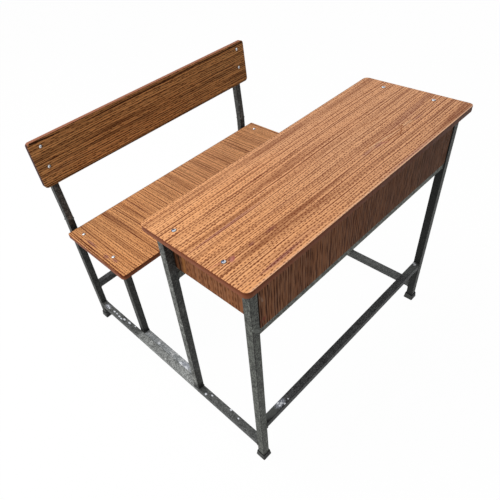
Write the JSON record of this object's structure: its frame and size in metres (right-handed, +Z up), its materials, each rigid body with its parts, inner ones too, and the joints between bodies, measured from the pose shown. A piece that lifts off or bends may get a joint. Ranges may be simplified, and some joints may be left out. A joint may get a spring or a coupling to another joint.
{
  "type": "school desk with bench",
  "caption": "Two-seat school desk joined to its bench: a welded square-tube frame with a fixed wooden top, book box, seat and backrest.",
  "frame": {"origin": "on the floor, at the middle of the whole outline seen from above", "axes": "+Z up, +X along the desk with the left pieces at -X, +Y from the desk's front panel towards the bench"},
  "size_m": [0.896, 0.9004, 0.7843],
  "materials": {
    "frame_paint": "dark grey hammered paint",
    "desktop_laminate": "satin laminate, orange-brown grain with a maroon edge",
    "seat_laminate": "satin laminate, orange-brown grain with a maroon edge",
    "backrest_laminate": "satin laminate, brown grain with a maroon edge",
    "panel_laminate": "satin laminate, dark brown grain",
    "foot_rubber": "matt black rubber",
    "bolt_steel": "bright zinc plate",
    "zinc_steel": "dull zinc plate"
  },
  "bodies": {
    "root": {"backrest_board": "backrest_laminate", "backrest_bolts": "bolt_steel", "backrest_nuts": "zinc_steel", "backrest_upright_left": "frame_paint", "backrest_upright_right": "frame_paint", "base_rail_left": "frame_paint", "base_rail_right": "frame_paint", "bench_front_leg_left": "frame_paint", "bench_front_leg_right": "frame_paint", "bench_rear_leg_left": "frame_paint", "bench_rear_leg_right": "frame_paint", "bench_stretcher": "frame_paint", "desk_front_leg_left": "frame_paint", "desk_front_leg_right": "frame_paint", "desk_rear_leg_left": "frame_paint", "desk_rear_leg_right": "frame_paint", "desktop": "desktop_laminate", "desktop_bolts": "bolt_steel", "desktop_nuts": "zinc_steel", "foot_cap_bench_left": "foot_rubber", "foot_cap_bench_right": "foot_rubber", "foot_cap_desk_left": "foot_rubber", "foot_cap_desk_right": "foot_rubber", "front_panel": "panel_laminate", "front_panel_screws": "zinc_steel", "front_stretcher": "frame_paint", "link_rail_left": "frame_paint", "link_rail_right": "frame_paint", "panel_screws_left": "zinc_steel", "panel_screws_right": "zinc_steel", "seat_board": "seat_laminate", "seat_bolts": "bolt_steel", "seat_front_rail": "frame_paint", "seat_nuts": "zinc_steel", "seat_rear_rail": "frame_paint", "seat_side_rail_left": "frame_paint", "seat_side_rail_right": "frame_paint", "shelf_board": "panel_laminate", "shelf_front_rail": "frame_paint", "shelf_rear_rail": "frame_paint", "shelf_screws": "zinc_steel", "side_panel_left": "panel_laminate", "side_panel_right": "panel_laminate", "top_rear_rail": "frame_paint", "top_side_rail_left": "frame_paint", "top_side_rail_right": "frame_paint"}
  },
  "joints": []
}
